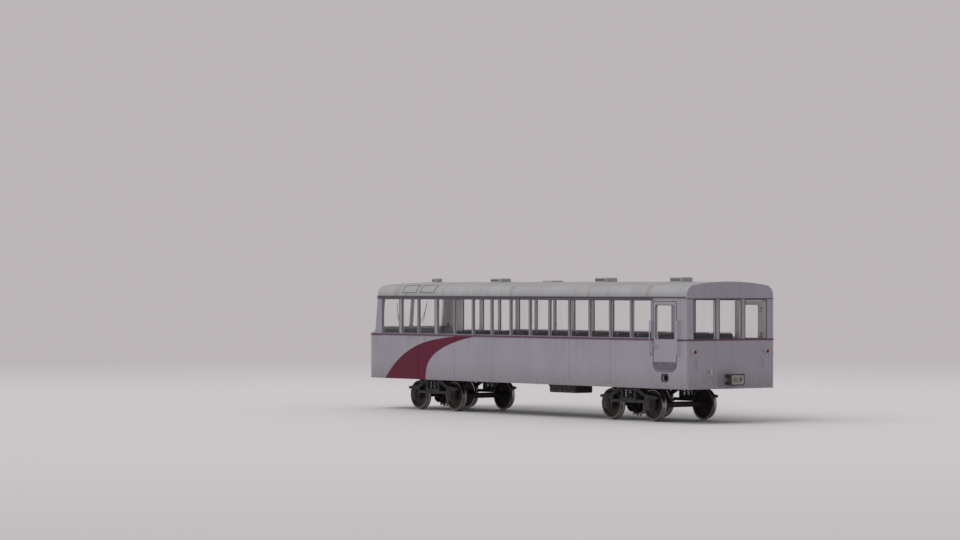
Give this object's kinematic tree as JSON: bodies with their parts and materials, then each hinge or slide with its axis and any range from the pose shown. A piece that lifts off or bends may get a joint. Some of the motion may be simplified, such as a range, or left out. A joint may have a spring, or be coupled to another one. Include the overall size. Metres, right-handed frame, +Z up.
{
  "type": "cog railway car",
  "caption": "Streamlined passenger car for a rack railway: glazed hollow body with seats and side doors, on bogies with braked cog wheels.",
  "frame": {"origin": "under the middle of the overall length and width, at the height of the wheel flanges' lowest points", "axes": "+X along the car towards its rear (downhill) end, +Y to its left-hand window wall, +Z up"},
  "size_m": [12.865, 2.708, 3.283],
  "materials": {
    "silver_paint": "satin aluminium paint",
    "roof_paint": "satin aluminium paint",
    "red_paint": "satin",
    "clear_glass": "clear",
    "seat_cover": "matt coated fabric",
    "bright_metal": "satin",
    "frame_black": "matt",
    "running_iron": "as cast",
    "worn_steel": "worn",
    "floor_cover": "ribbed",
    "lamp_red": "ribbed"
  },
  "bodies": {
    "car": {"front_dash": "silver_paint", "windscreen_frame": "silver_paint", "windscreen_glass": "clear_glass", "side_panel_left": "silver_paint", "side_panel_right": "silver_paint", "window_band_left": "silver_paint", "window_band_right": "silver_paint", "side_glass": "clear_glass", "roof": "roof_paint", "roof_shoulders": "roof_paint", "roof_front": "roof_paint", "skylights": "clear_glass", "roof_vents": "roof_paint", "rear_wall": "silver_paint", "rear_glass": "clear_glass", "side_mouldings": "red_paint", "floor": "floor_cover", "frame_sills": "frame_black", "sill_flanges": "frame_black", "cross_bearers": "frame_black", "body_bolsters": "frame_black", "rear_buffer": "running_iron", "front_tow_eye": "running_iron", "door_hinges": "bright_metal", "door_handrails": "bright_metal", "seat_frames": "bright_metal", "seat_cushions": "seat_cover", "seat_backs": "seat_cover", "control_desk": "silver_paint", "hand_brake": "running_iron", "attendant_stool": "seat_cover", "headlamp": "bright_metal", "tail_lamps": "lamp_red", "air_tank": "frame_black", "battery_box": "frame_black"},
    "door_left": {"door_left": "silver_paint", "door_glass_left": "clear_glass"},
    "door_right": {"door_right": "silver_paint", "door_glass_right": "clear_glass"},
    "bogie_front": {"side_frames_front": "frame_black", "axle_boxes_front": "running_iron", "bolster_front": "frame_black", "springs_front": "frame_black", "brake_bands_front": "running_iron"},
    "wheelset_front_1": {"axle_front_1": "running_iron", "wheels_front_1": "worn_steel", "cog_front": "running_iron"},
    "wheelset_front_2": {"axle_front_2": "running_iron", "wheels_front_2": "worn_steel"},
    "bogie_rear": {"side_frames_rear": "frame_black", "axle_boxes_rear": "running_iron", "bolster_rear": "frame_black", "springs_rear": "frame_black", "brake_bands_rear": "running_iron"},
    "wheelset_rear_1": {"axle_rear_1": "running_iron", "wheels_rear_1": "worn_steel", "cog_rear": "running_iron"},
    "wheelset_rear_2": {"axle_rear_2": "running_iron", "wheels_rear_2": "worn_steel"}
  },
  "joints": [
    {"name": "door_left_swing", "type": "hinge", "parent": "car", "child": "door_left", "pos_m": [5.8295, 1.2, 1.928], "axis": [0, 0, 1], "range_deg": [0, 90]},
    {"name": "door_right_swing", "type": "hinge", "parent": "car", "child": "door_right", "pos_m": [5.8295, -1.2, 1.928], "axis": [0, 0, -1], "range_deg": [0, 90]},
    {"name": "bogie_front_swivel", "type": "hinge", "parent": "car", "child": "bogie_front", "pos_m": [-3.9075, 0, 0.88], "axis": [0, 0, 1], "range_deg": [-5, 5]},
    {"name": "wheelset_front_1_spin", "type": "hinge", "parent": "bogie_front", "child": "wheelset_front_1", "pos_m": [-4.6575, 0, 0.378], "axis": [0, 1, 0], "continuous": true},
    {"name": "wheelset_front_2_spin", "type": "hinge", "parent": "bogie_front", "child": "wheelset_front_2", "pos_m": [-3.1575, 0, 0.378], "axis": [0, 1, 0], "continuous": true},
    {"name": "bogie_rear_swivel", "type": "hinge", "parent": "car", "child": "bogie_rear", "pos_m": [3.6925, 0, 0.88], "axis": [0, 0, 1], "range_deg": [-5, 5]},
    {"name": "wheelset_rear_1_spin", "type": "hinge", "parent": "bogie_rear", "child": "wheelset_rear_1", "pos_m": [2.9425, 0, 0.378], "axis": [0, 1, 0], "continuous": true},
    {"name": "wheelset_rear_2_spin", "type": "hinge", "parent": "bogie_rear", "child": "wheelset_rear_2", "pos_m": [4.4425, 0, 0.378], "axis": [0, 1, 0], "continuous": true}
  ]
}
